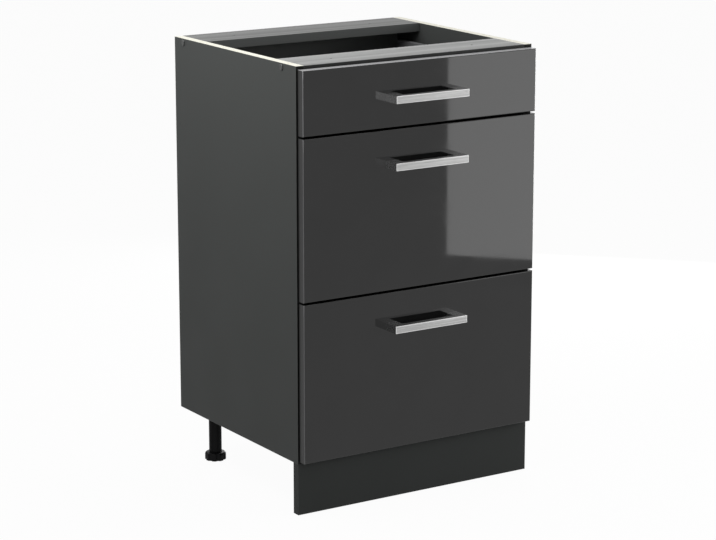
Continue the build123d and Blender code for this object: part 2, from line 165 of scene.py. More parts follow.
# %% [markdown]
# Five softboxes. The one at the right stands low in front of the cabinet: its mirror image is the bright
# field on the right half of the upper fronts, so its left and lower edges are placed by following rays from
# the camera off the gloss. One hangs close to the top of the left side, which therefore grows darker
# towards its foot, and one overhead evens out the light on the rails. A small one at the left front draws
# thin lights along the rounded edges of the fronts, and shows in the sides of the handles by way of the
# gloss behind them. The last, behind and lower than the open top, is for the back and the right side.

# %% Softboxes
def softbox(name, corner, heading, width, height, radiance, lean=0.0):
    """A rectangular lamp from its lower left corner, which runs along a heading and leans back from upright,
    both in degrees."""
    along = math.radians(heading)
    back = math.radians(lean)
    across = Vector((math.cos(along), math.sin(along), 0.0))
    facing = Vector((-math.sin(along), math.cos(along), 0.0))
    rise = Vector((0.0, 0.0, math.cos(back))) + facing * math.sin(back)
    normal = across.cross(rise)
    lamp_data = bpy.data.lights.new(name, "AREA")
    lamp_data.shape = "RECTANGLE"
    lamp_data.size = width
    lamp_data.size_y = height
    lamp_data.energy = radiance * math.pi * width * height
    lamp = bpy.data.objects.new(name, lamp_data)
    scene.collection.objects.link(lamp)
    lamp.location = Vector(corner) + across * width / 2 + rise * height / 2
    lamp.rotation_euler = normal.to_track_quat("Z", "Y").to_euler()
    lamp.visible_camera = False
    print(name, "centre", tuple(round(v, 3) for v in lamp.location), "power", round(lamp_data.energy, 1))


softbox("softbox_right", (0.9935, -1.563, 0.06), heading=47.4, width=1.2, height=1.2, radiance=2.5)
softbox("softbox_left", (-0.95, 0.6, 1.2), heading=-88.0, width=1.1, height=0.5, radiance=3.95, lean=40.0)
softbox("softbox_overhead", (0.1, 0.35, 2.0), heading=-90.0, width=0.9, height=0.9, radiance=2.75, lean=90.0)
softbox("strip_left", (-0.964, -1.277, 0.40), heading=-33.0, width=0.3, height=0.5, radiance=4.4)
softbox("softbox_behind", (1.795, 0.805, 0.05), heading=135.0, width=1.4, height=0.72, radiance=6.0)

# %% [markdown]
# A finish starts from Blender's principled shader. These helpers make it, and the patterns that most
# finishes share: noise in cells to the metre, a mix of two colours, bumps of a real height, and the
# distances of a point from the sides and arrises of its board. All of them read Object coordinates, which
# here are metres in the frame of the cabinet. The distance to the nearest arris is the second smallest
# distance to the six sides. The node that mixes colours has several inputs of the same name, so those for
# colours are called by their numbers.

# %% Finish helpers
skin = 0.0003
even = (1.0, 1.0, 1.0)
mix_first = 6
mix_second = 7
mix_result = 2


def new_finish(name, specular):
    """A material, its nodes, its shader with a plain specular level, and the place of each point."""
    finish = bpy.data.materials.new(name)
    finish.use_nodes = True
    tree = finish.node_tree
    shader = tree.nodes["Principled BSDF"]
    shader.inputs["Specular IOR Level"].default_value = specular
    place = wire(tree, "ShaderNodeTexCoord", {}).outputs["Object"]
    return finish, tree, shader, place


def connect(tree, shader, colour, roughness, bumps):
    """Feed the shader of a finish."""
    tree.links.new(colour, shader.inputs["Base Color"])
    tree.links.new(roughness, shader.inputs["Roughness"])
    tree.links.new(bumps, shader.inputs["Normal"])


def give(node, finish):
    """Put a finish on a node of the cabinet."""
    nodes[node].material_slots[0].material = finish


def noise(tree, place, cells, detail=3.0, stretch=even):
    """Soft noise with a number of cells to the metre, drawn out along an axis where stretch is small."""
    mapped = wire(tree, "ShaderNodeMapping", {"Vector": place, "Scale": stretch}).outputs[0]
    inputs = {"Vector": mapped, "Scale": cells, "Detail": detail}
    return wire(tree, "ShaderNodeTexNoise", inputs).outputs["Fac"]


def tint(tree, share, first, second):
    """A colour between two others."""
    inputs = {"Factor": share, mix_first: first, mix_second: second}
    return wire(tree, "ShaderNodeMix", inputs, data_type="RGBA").outputs[mix_result]


def relief(tree, height, distance, strength):
    """Bumps of a real height in metres."""
    inputs = {"Height": height, "Distance": distance, "Strength": strength}
    return wire(tree, "ShaderNodeBump", inputs).outputs[0]


def box_sides(tree, place, node):
    """Distances in from the low sides and from the high sides of a node's box."""
    low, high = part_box(node)
    from_low = wire(tree, "ShaderNodeVectorMath", {0: place, 1: low}, operation="SUBTRACT").outputs[0]
    from_high = wire(tree, "ShaderNodeVectorMath", {0: high, 1: place}, operation="SUBTRACT").outputs[0]
    low_sides = wire(tree, "ShaderNodeSeparateXYZ", {0: from_low}).outputs
    high_sides = wire(tree, "ShaderNodeSeparateXYZ", {0: from_high}).outputs
    return low_sides, high_sides


def arris_distance(tree, low_sides, high_sides):
    """Distance to the nearest arris of a box."""
    x, y, z = [calc(tree, "MINIMUM", low_sides[axis], high_sides[axis]) for axis in "XYZ"]
    smaller = calc(tree, "MINIMUM", x, y)
    larger = calc(tree, "MAXIMUM", x, y)
    return calc(tree, "MAXIMUM", smaller, calc(tree, "MINIMUM", larger, z))


def at_side(tree, distance):
    """One on a side of a box, and zero more than a skin's depth inside it."""
    return fade(tree, distance, skin, 0.0, 0.0, 1.0)


print("finish helpers ready, with a skin of", skin, "m")

# %% [markdown]
# The carcass is chipboard faced with matt melamine in anthracite. Up close melamine has a fine pearl
# emboss, less than a millimetre across, faint clouds of tone and a slightly rubbed look along the arrises.
# The front edges are banded in near black: partly a real dark band, and partly painted shade, which keeps
# the gaps round the fronts dark. The top and back edges were never banded, and the pale core shows there,
# with its chips. One function makes this for any board from its box. Soft noise mostly lies between 0.3
# and 0.7, so a fade between those limits uses all of it, and a fade between closer ones makes harder spots.

# %% Matt boards
arris = 0.0011
all_noise = (0.3, 0.7)
mid_noise = (0.35, 0.65)
core_pale = screen(246, 245, 234)
core_chip = screen(214, 204, 176)
# Near black for banded front edges: a dark band that is also painted shade, so gaps and the line above the
# top front stay dark.
edge_band_and_painted_shade = screen(22, 23, 22)
melamine_matt = screen(74, 76, 75)
melamine_worn = screen(112, 114, 111)
# The plinth's two colours are the carcass melamine made darker, as painted shade for the low plinth under the
# fronts.
plinth_shaded_matt = screen(61, 63, 62)
plinth_shaded_worn = screen(86, 88, 87)
cloud_cells = 9.0
pearl_cells = 1400.0
rub_cells = 160.0
chip_cells = 420.0
chip_stretch = (1.0, 0.45, 1.0)
rub_noise = (0.35, 0.7)
chip_noise = (0.52, 0.66)
cloud_share = 0.04
pearl_share = 0.08
rub_share = 0.75
rub_least = 0.25
chip_share = 0.55
matt_roughness = (0.48, 0.55)
core_roughness = 0.3
pearl_height = 0.00003
pearl_strength = 0.5


def board_finish(node, base, wear_and_highlight, specular, raw_sides="", banded=False):
    """Matt melamine for one board, with a pale raw core on the sides named by their axes at the high end, and
    a near-black band on the front edge if it has one, which is also painted shade for the gaps."""
    finish, tree, shader, place = new_finish(f"melamine_{node}", specular)
    low_sides, high_sides = box_sides(tree, place, node)
    clouds = noise(tree, place, cloud_cells)
    pearl = noise(tree, place, pearl_cells, detail=2.0)
    rubbed = fade(tree, arris_distance(tree, low_sides, high_sides), 0.0, arris, rub_share, 0.0)
    patches = fade(tree, noise(tree, place, rub_cells), *rub_noise, rub_least, 1.0)
    cloudy = fade(tree, clouds, *all_noise, 0.0, cloud_share)
    pearly = fade(tree, pearl, *mid_noise, 0.0, pearl_share)
    mottle = calc(tree, "ADD", cloudy, pearly)
    colour = tint(tree, calc(tree, "ADD", mottle, calc(tree, "MULTIPLY", rubbed, patches)), base, wear_and_highlight)
    # The near-black front edge is partly painted shade, which keeps the gaps round the fronts dark.
    if banded:
        colour = tint(tree, at_side(tree, low_sides["Y"]), colour, edge_band_and_painted_shade)
    rough = fade(tree, clouds, *all_noise, *matt_roughness)
    for axis in raw_sides:
        raw = at_side(tree, high_sides[axis])
        chips = noise(tree, place, chip_cells, stretch=chip_stretch)
        core = tint(tree, fade(tree, chips, *chip_noise, 0.0, chip_share), core_pale, core_chip)
        colour = tint(tree, raw, colour, core)
        rough = calc(tree, "ADD", rough, calc(tree, "MULTIPLY", raw, core_roughness))
    connect(tree, shader, colour, rough, relief(tree, pearl, pearl_height, pearl_strength))
    give(node, finish)


board_finish("side_left", melamine_matt, melamine_worn, specular=0.08, raw_sides="ZY", banded=True)
board_finish("side_right", melamine_matt, melamine_worn, specular=0.08, raw_sides="ZY", banded=True)
board_finish("bottom_panel", melamine_matt, melamine_worn, specular=0.08, raw_sides="Y", banded=True)
board_finish("plinth_panel", plinth_shaded_matt, plinth_shaded_worn, specular=0.06)
print("boards done")

# %% [markdown]
# The two rails across the open top carry a satin foil with fine streaks along their length. Only the top
# faces have it, and its light tone is a painted sheen, lighter on the front rail than on the rear one. The
# narrow edges are banded, on the front rail in near black, which is also painted shade: it draws a dark line
# above the top front. Three noises, drawn out along X, make the streaks.

# %% Satin rails
fine_streak_cells = 1500.0
broad_streak_cells = 260.0
tone_band_cells = 70.0
fine_streak_part = 0.4
streak_noise = (0.34, 0.66)
tone_band_noise = (0.36, 0.64)
streak_share = 0.5
tone_band_share = 0.5
edge_rub_share = 0.35
foil_specular = 0.2
foil_roughness = (0.36, 0.5)
streak_height = 0.00002
streak_strength = 0.5


def along_x(share):
    """The stretch of a noise that is drawn out along X, the more the smaller the share."""
    return (share, 1.0, 1.0)


def blended(tree, first, second, part):
    """A part of one noise and the rest of another."""
    return calc(tree, "ADD", calc(tree, "MULTIPLY", first, part), calc(tree, "MULTIPLY", second, 1.0 - part))


def rail_finish(node, dull, bright, edge):
    """Streaked foil on the top face, lightened as a painted sheen, and a band on the edges."""
    finish, tree, shader, place = new_finish(f"foil_{node}", foil_specular)
    low_sides, high_sides = box_sides(tree, place, node)
    fine = noise(tree, place, fine_streak_cells, stretch=along_x(0.006))
    broad = noise(tree, place, broad_streak_cells, stretch=along_x(0.012))
    bands = noise(tree, place, tone_band_cells, detail=2.0, stretch=along_x(0.02))
    streaks = blended(tree, fine, broad, fine_streak_part)
    streaky = fade(tree, streaks, *streak_noise, 0.0, streak_share)
    banded = fade(tree, bands, *tone_band_noise, 0.0, tone_band_share)
    # The foil's light tone on the top faces is a painted sheen.
    foil_and_painted_sheen = tint(tree, calc(tree, "ADD", streaky, banded), dull, bright)
    rubbed = fade(tree, arris_distance(tree, low_sides, high_sides), 0.0, arris, edge_rub_share, 0.0)
    colour = tint(tree, at_side(tree, high_sides["Z"]), tint(tree, rubbed, edge, dull), foil_and_painted_sheen)
    rough = fade(tree, streaks, *all_noise, *foil_roughness)
    connect(tree, shader, colour, rough, relief(tree, streaks, streak_height, streak_strength))
    give(node, finish)


# The front rail's lighter foil colours, against the rear rail's, are a painted sheen.
rail_finish("front_rail", dull=screen(106, 107, 106), bright=screen(165, 166, 165), edge=edge_band_and_painted_shade)
rail_finish("rear_rail", dull=screen(63, 64, 63), bright=screen(118, 119, 118), edge=screen(94, 96, 95))
print("rails done")

# %% [markdown]
# The back panel is 3 mm hardboard. Its inner face carries a thin grey lacquer, lighter than the carcass as
# painted light for the shaded inside of the cabinet, and its outer face, which stands against the wall, is
# left as it comes from the press: brown, with short fibres. The lacquer ends a third of the way into the
# board, where nobody sees it.

# %% Hardboard back
brown_dark = screen(92, 68, 48)
brown_light = screen(136, 106, 78)
brown_cloud = screen(108, 82, 60)
# These two greys, lighter than the carcass, are painted light for the shaded inside of the cabinet.
painted_light_lacquer_dark = screen(122, 124, 123)
painted_light_lacquer_light = screen(146, 148, 147)
lacquer_end = (0.3, 0.4)
fibre_cells = 900.0
fibre_stretch = (0.5, 1.0, 0.9)
press_cloud_cells = 14.0
fibre_noise = (0.35, 0.68)
press_cloud_noise = (0.35, 0.7)
press_cloud_share = 0.35
lacquer_fibre_share = 0.25
hardboard_specular = 0.2
hardboard_roughness = (0.45, 0.8)
fibre_height = 0.00008
fibre_strength = 0.6


def hardboard_finish(node):
    """Brown fibres behind, lacquer in front, made lighter as painted light."""
    finish, tree, shader, place = new_finish("hardboard", hardboard_specular)
    low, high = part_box(node)
    limits = [low.y + share * (high.y - low.y) for share in lacquer_end]
    depth = wire(tree, "ShaderNodeSeparateXYZ", {0: place}).outputs["Y"]
    outside = fade(tree, depth, *limits, 0.0, 1.0)
    fibres = noise(tree, place, fibre_cells, detail=5.0, stretch=fibre_stretch)
    clouds = noise(tree, place, press_cloud_cells)
    brown = tint(tree, fade(tree, fibres, *fibre_noise, 0.0, 1.0), brown_dark, brown_light)
    brown = tint(tree, fade(tree, clouds, *press_cloud_noise, 0.0, press_cloud_share), brown, brown_cloud)
    fibrous = fade(tree, fibres, *all_noise, 0.0, lacquer_fibre_share)
    colour = tint(tree, outside, tint(tree, fibrous, painted_light_lacquer_dark, painted_light_lacquer_light), brown)
    rough = fade(tree, outside, 0.0, 1.0, *hardboard_roughness)
    connect(tree, shader, colour, rough, relief(tree, fibres, fibre_height, fibre_strength))
    give(node, finish)


hardboard_finish("back_panel")
print("hardboard done")

# %% [markdown]
# The fronts are the face of this cabinet: fibreboard under a hard, polished anthracite lacquer. What makes
# lacquer look deep is the contrast between a dark body and crisp reflections, so the body is very dark and
# the shine comes from the shader. A faint waviness, centimetres long, and hairline polishing marks keep it
# from looking perfect. The top face of the top front is painted pale, a painted highlight that draws a light
# line under the rail. The edges at the sides are lacquered too, but not polished, and their arrises are
# painted pale, a painted highlight that is strongest near the upper corners. The inner face, towards the
# drawer, is plain matt foil.

# %% Gloss fronts
gloss_body = screen(23, 23, 23)
gloss_haze = screen(60, 60, 60)
# A pale colour for the arrises of the fronts, which is a painted highlight.
painted_rim_highlight = screen(186, 186, 188)
# A pale colour for the top face of the top front, which is a painted highlight.
painted_top_highlight = screen(208, 208, 210)
inner_foil = screen(70, 71, 70)
gloss_specular = 0.42
corner_run = (0.004, 0.022)
rim_width = (0.0013, 0.0006)
haze_cells = 16.0
hairline_cells = 260.0
wave_cells = 22.0
haze_share = 0.06
haze_noise = (0.3, 0.75)
haze_roughness = (0.025, 0.05)
hairline_noise = (0.5, 0.8)
hairline_roughness = 0.02
unpolished_roughness = 0.45
wave_height = 0.00002
wave_strength = 0.35


def gloss_finish(node, top_face_colour, corner_highlight, side_highlight):
    """Polished lacquer with a pale painted highlight on the upright arrises, strongest at the upper corners,
    with a top face in a colour of its own, on the top front a painted highlight, and a matt inner face."""
    finish, tree, shader, place = new_finish(f"lacquer_{node}", gloss_specular)
    low_sides, high_sides = box_sides(tree, place, node)
    beside = calc(tree, "MINIMUM", low_sides["X"], high_sides["X"])
    inside = at_side(tree, high_sides["Y"])
    # The share of the painted highlight: full at the upper corners, less down the upright arrises.
    wear_and_highlight = fade(tree, high_sides["Z"], *corner_run, corner_highlight, side_highlight)
    highlight_rim = fade(tree, calc(tree, "MAXIMUM", low_sides["Y"], beside), *rim_width, 0.0, wear_and_highlight)
    haze = noise(tree, place, haze_cells)
    hairlines = noise(tree, place, hairline_cells, detail=5.0, stretch=along_x(0.05))
    wave = noise(tree, place, wave_cells, detail=1.0)
    body = tint(tree, fade(tree, haze, *all_noise, 0.0, haze_share), gloss_body, gloss_haze)
    # The painted highlight on the arrises, then the top face in its own colour, on the top front a painted
    # highlight.
    body = tint(tree, at_side(tree, high_sides["Z"]), tint(tree, highlight_rim, body, painted_rim_highlight), top_face_colour)
    marks = fade(tree, hairlines, *hairline_noise, 0.0, hairline_roughness)
    polish = calc(tree, "ADD", fade(tree, haze, *haze_noise, *haze_roughness), marks)
    dull = calc(tree, "MAXIMUM", inside, at_side(tree, beside))
    rough = calc(tree, "ADD", polish, calc(tree, "MULTIPLY", dull, unpolished_roughness))
    colour = tint(tree, inside, body, inner_foil)
    connect(tree, shader, colour, rough, relief(tree, wave, wave_height, wave_strength))
    give(node, finish)


gloss_finish("top_drawer_front", painted_top_highlight, corner_highlight=1.0, side_highlight=0.55)
gloss_finish("middle_drawer_front", gloss_body, corner_highlight=0.6, side_highlight=0.4)
gloss_finish("bottom_drawer_front", gloss_body, corner_highlight=0.6, side_highlight=0.4)
print("fronts done")

# %% [markdown]
# The handles are square frames of cast metal. Only the face of the bar is brushed along its length and
# bright, and its arrises carry a painted highlight in a paler colour. Brushing spreads a highlight across
# the strokes, so the shader is anisotropic there, with an upright tangent. The other faces are a smooth
# satin, in which the dark front shows, so they stay grey. The face is found by its place: it is the
# foremost plane of the handle.

# %% Brushed handles
drawers = ("top", "middle", "bottom")
brushed_bright = (0.46, 0.46, 0.458, 1.0)
brushed_dull = (0.24, 0.24, 0.238, 1.0)
# A paler colour for the arrises of the handle, which is a painted highlight.
painted_arris_highlight = (0.62, 0.62, 0.618, 1.0)
satin_metal = (0.60, 0.601, 0.603, 1.0)
metal_specular = 0.5
across_brush = 0.85
face_depth = (0.0007, 0.0003)
arris_highlight_width = (0.0014, 0.0007)
fine_brush_cells = 3600.0
broad_brush_cells = 700.0
fine_brush_part = 0.6
satin_roughness = (0.24, 0.30)
face_roughness = 0.16
brush_height = 0.00006
brush_strength = 1.0


def handle_finish(node):
    """Metal brushed along X on the foremost face, satin on the others."""
    finish, tree, shader, place = new_finish(f"metal_{node}", metal_specular)
    shader.inputs["Metallic"].default_value = 1.0
    low_sides, high_sides = box_sides(tree, place, node)
    face = fade(tree, low_sides["Y"], *face_depth, 0.0, 1.0)
    fine = noise(tree, place, fine_brush_cells, stretch=along_x(0.004))
    broad = noise(tree, place, broad_brush_cells, detail=2.0, stretch=along_x(0.006))
    brush = blended(tree, fine, broad, fine_brush_part)
    # Where the painted highlight lies: along the arrises of the handle.
    highlit_arris = fade(tree, arris_distance(tree, low_sides, high_sides), *arris_highlight_width, 0.0, 1.0)
    bright = tint(tree, fade(tree, brush, *mid_noise, 0.0, 1.0), brushed_dull, brushed_bright)
    bright = tint(tree, highlit_arris, bright, painted_arris_highlight)
    colour = tint(tree, face, satin_metal, bright)
    satin = fade(tree, brush, *all_noise, *satin_roughness)
    rough = calc(tree, "ADD", satin, fade(tree, face, 0.0, 1.0, 0.0, face_roughness))
    strokes = calc(tree, "MULTIPLY", brush, face)
    connect(tree, shader, colour, rough, relief(tree, strokes, brush_height, brush_strength))
    upright = wire(tree, "ShaderNodeTangent", {}, direction_type="RADIAL", axis="X").outputs[0]
    tree.links.new(upright, shader.inputs["Tangent"])
    tree.links.new(calc(tree, "MULTIPLY", face, across_brush), shader.inputs["Anisotropic"])
    give(node, finish)


for drawer in drawers:
    handle_finish(f"{drawer}_drawer_handle")
print("handles done")

# %% [markdown]
# The rest are the finishes of the works inside: powder-coated drawer sides and runners with a fine orange
# peel, zinc-plated screws with a faint spangle, nylon rollers, soft rubber dots, beech dowels, and the
# black plastic of the legs and clips. Each is one colour that two noises, one broad and one fine, break up,
# with its own gloss and bumps.

# %% Works inside
broad_share = 0.6
fine_share = 0.4
both_noises = (0.7, 1.3)
roughness_drift = 0.06
grit_strength = 0.6


def plain_finish(name, colour, light, roughness, specular, broad, fine, bump, stretch=even, metal=0.0):
    """A colour broken up by a broad and a fine noise, in cells to the metre, with bumps of a real height."""
    finish, tree, shader, place = new_finish(name, specular)
    shader.inputs["Metallic"].default_value = metal
    clouds = noise(tree, place, broad, stretch=stretch)
    grit = noise(tree, place, fine, detail=2.0, stretch=stretch)
    cloudy = fade(tree, clouds, *all_noise, 0.0, broad_share)
    gritty = fade(tree, grit, *mid_noise, 0.0, fine_share)
    broken = tint(tree, calc(tree, "ADD", cloudy, gritty), colour, light)
    limits = (roughness - roughness_drift, roughness + roughness_drift)
    rough = fade(tree, calc(tree, "ADD", clouds, grit), *both_noises, *limits)
    connect(tree, shader, broken, rough, relief(tree, grit, bump, grit_strength))
    return finish


powder_coat = plain_finish("powder_coat", screen(97, 98, 99), screen(104, 105, 106),
                           roughness=0.42, specular=0.35, broad=30.0, fine=1600.0, bump=0.00003)
box_board = plain_finish("drawer_board", screen(78, 79, 79), screen(87, 88, 88),
                         roughness=0.5, specular=0.2, broad=12.0, fine=1300.0, bump=0.00002)
zinc = plain_finish("zinc_plate", (0.42, 0.43, 0.44, 1.0), (0.6, 0.61, 0.62, 1.0),
                    roughness=0.34, specular=0.5, broad=120.0, fine=900.0, bump=0.00002, metal=1.0)
nylon = plain_finish("nylon", screen(206, 206, 200), screen(226, 226, 221),
                     roughness=0.38, specular=0.45, broad=60.0, fine=1500.0, bump=0.00001)
rubber = plain_finish("rubber", screen(96, 98, 98), screen(118, 120, 120),
                      roughness=0.55, specular=0.4, broad=200.0, fine=2500.0, bump=0.00002)
beech = plain_finish("beech", screen(190, 150, 108), screen(212, 176, 132),
                     roughness=0.6, specular=0.3, broad=60.0, fine=700.0, bump=0.00004, stretch=along_x(0.1))
black_plastic = plain_finish("black_plastic", screen(6, 6, 7), screen(12, 12, 13),
                             roughness=0.46, specular=0.10, broad=40.0, fine=1400.0, bump=0.00003)
cap_plastic = plain_finish("cap_plastic", screen(46, 48, 47), screen(54, 56, 55),
                           roughness=0.28, specular=0.4, broad=60.0, fine=1400.0, bump=0.00001)
grey_coat = plain_finish("grey_coat", screen(131, 132, 132), screen(138, 139, 139),
                         roughness=0.4, specular=0.4, broad=30.0, fine=1600.0, bump=0.00003)

finish_of = {"dowels": beech, "carcass_screws": zinc}
for hand in ("left", "right"):
    finish_of[f"plinth_clip_{hand}"] = black_plastic
    for drawer in drawers:
        finish_of[f"{drawer}_runner_{hand}"] = grey_coat
        finish_of[f"{drawer}_drawer_side_{hand}"] = powder_coat
for drawer in drawers:
    finish_of[f"{drawer}_drawer_bottom"] = box_board
    finish_of[f"{drawer}_drawer_back"] = box_board
    finish_of[f"{drawer}_front_rollers"] = nylon
    finish_of[f"{drawer}_rear_rollers"] = nylon
for node, finish in finish_of.items():
    give(node, finish)
print("finishes given to", len(finish_of), "more nodes")

# %% [markdown]
# The mouldings and fixings that follow are modelled by hand. Each starts as a primitive at its size and
# place, and is then shaped with extrude, inset and bevel. Operators act on whatever is selected, so one
# helper adds a primitive with nothing else selected, and another selects faces or edges by where they lie
# and which way they run. A finished piece is handed over with its name, finish and body, and the node that
# it stands for is hidden.

# %% Modelling helpers
smooth_angle = math.radians(35.0)


def start(add, **sizes):
    """Add a primitive with nothing else selected, and put its place, turn and size into its mesh."""
    bpy.ops.object.select_all(action="DESELECT")
    add(**sizes)
    bpy.ops.object.transform_apply(location=True, rotation=True, scale=True)
    return bpy.context.object


def pick(piece, kind, wanted):
    """Enter edit mode with only those faces or edges selected whose middle and direction pass a test."""
    bpy.ops.object.mode_set(mode="EDIT")
    bpy.ops.mesh.select_mode(type=kind)
    bpy.ops.mesh.select_all(action="DESELECT")
    shape = bmesh.from_edit_mesh(piece.data)
    if kind == "FACE":
        for face in shape.faces:
            face.select_set(wanted(face.calc_center_median(), face.normal))
    else:
        for edge in shape.edges:
            first, second = edge.verts[0].co, edge.verts[1].co
            edge.select_set(wanted((first + second) / 2, (second - first).normalized()))
    bmesh.update_edit_mesh(piece.data)


def leave(piece):
    """Back to object mode."""
    bpy.ops.object.mode_set(mode="OBJECT")
    return piece


def copy_of(piece, place):
    """A copy with a mesh of its own, moved and turned by a matrix."""
    made = piece.copy()
    made.data = piece.data.copy()
    made.data.transform(place)
    scene.collection.objects.link(made)
    return made


def joined(pieces):
    """Several pieces as one."""
    bpy.ops.object.select_all(action="DESELECT")
    for piece in pieces:
        piece.select_set(True)
    bpy.context.view_layer.objects.active = pieces[0]
    bpy.ops.object.join()
    return pieces[0]


def cut_out(piece, cutter):
    """Cut one piece with another, which is used up."""
    bpy.context.view_layer.objects.active = piece
    cut = piece.modifiers.new("cut", "BOOLEAN")
    cut.operation = "DIFFERENCE"
    cut.object = cutter
    bpy.ops.object.modifier_apply(modifier=cut.name)
    bpy.data.objects.remove(cutter)


def hand_over(piece, name, body, node, finish):
    """Smooth the round faces, give a piece its name, finish and body, and hide the node that it stands for.
    """
    bpy.ops.object.select_all(action="DESELECT")
    piece.select_set(True)
    bpy.context.view_layer.objects.active = piece
    bpy.ops.object.shade_smooth_by_angle(angle=smooth_angle)
    piece.name = name
    piece.data.materials.append(finish)
    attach(piece, body)
    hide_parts(node)
    print(name, len(piece.data.polygons), "faces")


print("modelling helpers ready")

# %% [markdown]
# A leg is one plastic moulding: a fluted tube, open at the foot so that the threaded stem can turn up into
# it, a collar, a square flange for four screws, and four small gussets that stiffen the flange. The flutes
# are pairs of the tube's own facets, inset and sunk, so the tube never grows beyond its true radius. One
# leg is modelled, and a copy is set at each of the four places.

# %% Legs
tube_radius = 0.012
tube_facets = 96
tube_sunk = 0.001
flute_pitch = 4
flute_facets = 2
flute_depth = 0.0006
flute_border = 0.00012
bore_radius = 0.0085
bore_depth = 0.068
flange_thickness = 0.004
flange_corner = 0.008
flange_rounding = 0.0008
collar_radius = 0.016
collar_height = 0.006
collar_rounding = 0.002
gusset_reach = 0.0205
gusset_thickness = 0.002
gusset_height = 0.005
gusset_sunk = 0.002
gusset_cut = 0.75
sliver = 0.00002
nearly_one = 0.9


def leg_tube(x, y, low, high):
    """The fluted tube, bored from below."""
    tube = start(bpy.ops.mesh.primitive_cylinder_add, vertices=tube_facets, radius=tube_radius,
                 depth=high - low, location=(x, y, (low + high) / 2))
    facet = 2 * math.pi / tube_facets

    def in_flute(middle, normal):
        column = math.floor(math.atan2(middle.y - y, middle.x - x) / facet)
        return abs(normal.z) < nearly_one and column % flute_pitch < flute_facets

    pick(tube, "FACE", in_flute)
    bpy.ops.mesh.inset(thickness=flute_border, depth=-flute_depth)
    pick(tube, "FACE", lambda middle, normal: middle.z < low + sliver)
    bpy.ops.mesh.inset(thickness=tube_radius - bore_radius)
    bpy.ops.mesh.extrude_region_move(TRANSFORM_OT_translate={"value": (0.0, 0.0, bore_depth)})
    return leave(tube)


def leg_collar(x, y, high):
    """The collar under the flange, with a rounded lower rim."""
    low = high - collar_height
    collar = start(bpy.ops.mesh.primitive_cylinder_add, vertices=64, radius=collar_radius,
                   depth=collar_height, location=(x, y, (low + high) / 2))
    pick(collar, "EDGE", lambda middle, run: middle.z < low + sliver)
    bpy.ops.mesh.bevel(offset=collar_rounding, segments=4)
    return leave(collar)


def leg_flange(x, y, high, width):
    """The square plate under the carcass, with round corners and a softened lower rim."""
    low = high - flange_thickness
    flange = start(bpy.ops.mesh.primitive_cube_add, size=1.0, scale=(width, width, flange_thickness),
                   location=(x, y, (low + high) / 2))
    pick(flange, "EDGE", lambda middle, run: abs(run.z) > nearly_one)
    bpy.ops.mesh.bevel(offset=flange_corner, segments=6)
    pick(flange, "EDGE", lambda middle, run: middle.z < low + sliver)
    bpy.ops.mesh.bevel(offset=flange_rounding, segments=2)
    return leave(flange)


def leg_gusset(x, y, high, turn):
    """A thin web between collar and flange, cut back at the bottom."""
    length = gusset_reach - collar_radius + gusset_sunk
    low = high - gusset_height
    outer = x + gusset_reach
    web = start(bpy.ops.mesh.primitive_cube_add, size=1.0, scale=(length, gusset_thickness, gusset_height),
                location=(outer - length / 2, y, (low + high) / 2))
    pick(web, "EDGE", lambda middle, run: middle.z < low + sliver and middle.x > outer - sliver)
    bpy.ops.transform.translate(value=(-gusset_cut * length, 0.0, 0.0))
    bpy.ops.mesh.select_all(action="SELECT")
    bpy.ops.transform.rotate(value=turn, orient_axis="Z", center_override=(x, y, 0.0))
    return leave(web)


leg_names = [f"leg_{row}_{hand}" for row in ("front", "rear") for hand in ("left", "right")]
first_low, first_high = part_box(leg_names[0])
leg_x, leg_y, _ = (first_low + first_high) / 2
seat = first_high.z - flange_thickness
leg = joined([
    leg_tube(leg_x, leg_y, first_low.z, seat - tube_sunk),
    leg_collar(leg_x, leg_y, seat),
    leg_flange(leg_x, leg_y, first_high.z, first_high.x - first_low.x),
    *(leg_gusset(leg_x, leg_y, seat, quarter * math.pi / 2) for quarter in range(4)),
])
leg_shifts = {name: Matrix.Translation(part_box(name)[0] - first_low) for name in leg_names}
for name, shift in leg_shifts.items():
    hand_over(copy_of(leg, shift), f"{name}_moulding", "carcass", name, black_plastic)
bpy.data.objects.remove(leg)

# %% [markdown]
# A levelling foot is a lobed pad, which fingers can turn, with a threaded stem that climbs into the leg and
# shows when the foot is wound out. The pad is a cylinder with rounded rims, cut by eight round notches. The
# stem is a cylinder divided into many rings, whose points are then drawn in by a wave that climbs one pitch
# in each turn. That makes the round, true thread of a moulding, which never grows beyond the stem's radius.
# One foot is modelled, and a copy is set under each leg.

# %% Feet
pad_radius = 0.020
pad_height = 0.015
pad_top_rounding = 0.004
pad_sole_rounding = 0.001
notch_count = 8
notch_turn = math.radians(30.0)
notch_radius = 0.005
notch_depth = 0.003
stem_radius = 0.0082
stem_length = 0.045
stem_sunk = 0.001
ring_cuts = (49, 2)
thread_pitch = 0.003
thread_depth = 0.0008


def foot_pad(x, y):
    """The pad on the floor."""
    pad = start(bpy.ops.mesh.primitive_cylinder_add, vertices=96, radius=pad_radius, depth=pad_height,
                location=(x, y, pad_height / 2))
    pick(pad, "EDGE", lambda middle, run: middle.z > pad_height - sliver)
    bpy.ops.mesh.bevel(offset=pad_top_rounding, segments=6)
    pick(pad, "EDGE", lambda middle, run: middle.z < sliver)
    bpy.ops.mesh.bevel(offset=pad_sole_rounding, segments=3)
    leave(pad)
    reach = pad_radius + notch_radius - notch_depth
    for notch in range(notch_count):
        angle = notch_turn + notch * 2 * math.pi / notch_count
        place = (x + reach * math.cos(angle), y + reach * math.sin(angle), pad_height / 2)
        cut_out(pad, start(bpy.ops.mesh.primitive_cylinder_add, vertices=48, radius=notch_radius,
                           depth=2 * pad_height, location=place))
    return pad


